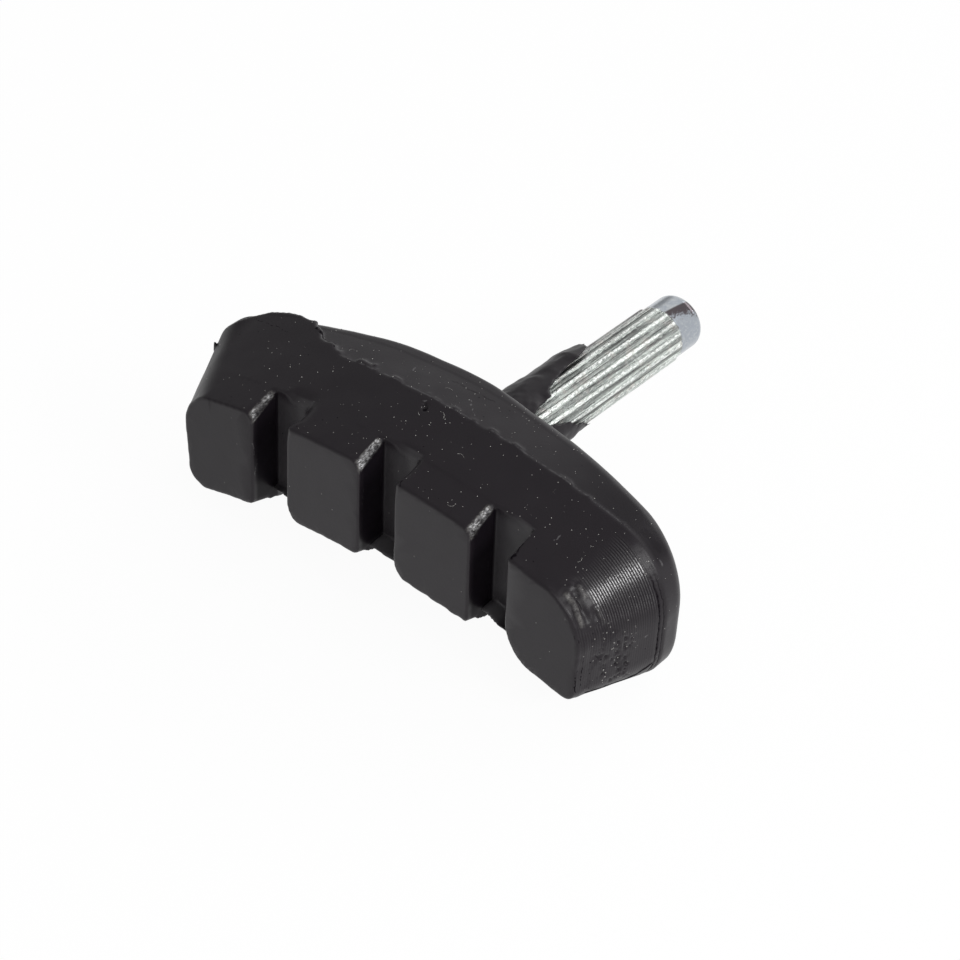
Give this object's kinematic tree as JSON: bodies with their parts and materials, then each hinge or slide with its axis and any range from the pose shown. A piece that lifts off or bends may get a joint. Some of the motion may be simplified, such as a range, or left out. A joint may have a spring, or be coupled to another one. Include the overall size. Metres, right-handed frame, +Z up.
{
  "type": "bicycle_rim_brake_pad",
  "caption": "Arched rubber rim brake pad with grooved lugs on its friction face, moulded onto a ridged steel post that a brake arm clamps so the pad can be pressed against a wheel rim",
  "frame": {"origin": "on the post axis, in the middle of the plain length at the post's free end", "axes": "+X along the pad, +Y from the friction face out along the post to its tip, +Z up, towards the outside of the arch"},
  "size_m": [0.0636, 0.0526, 0.0221],
  "materials": {
    "pad_rubber": "moulded black rubber, semi-matt, with tool marks, flash, dust and scuffs",
    "post_steel": "bright zinc-plated steel, faintly pitted"
  },
  "bodies": {
    "root": {"rubber_pad": "pad_rubber", "steel_post": "post_steel"}
  },
  "joints": []
}
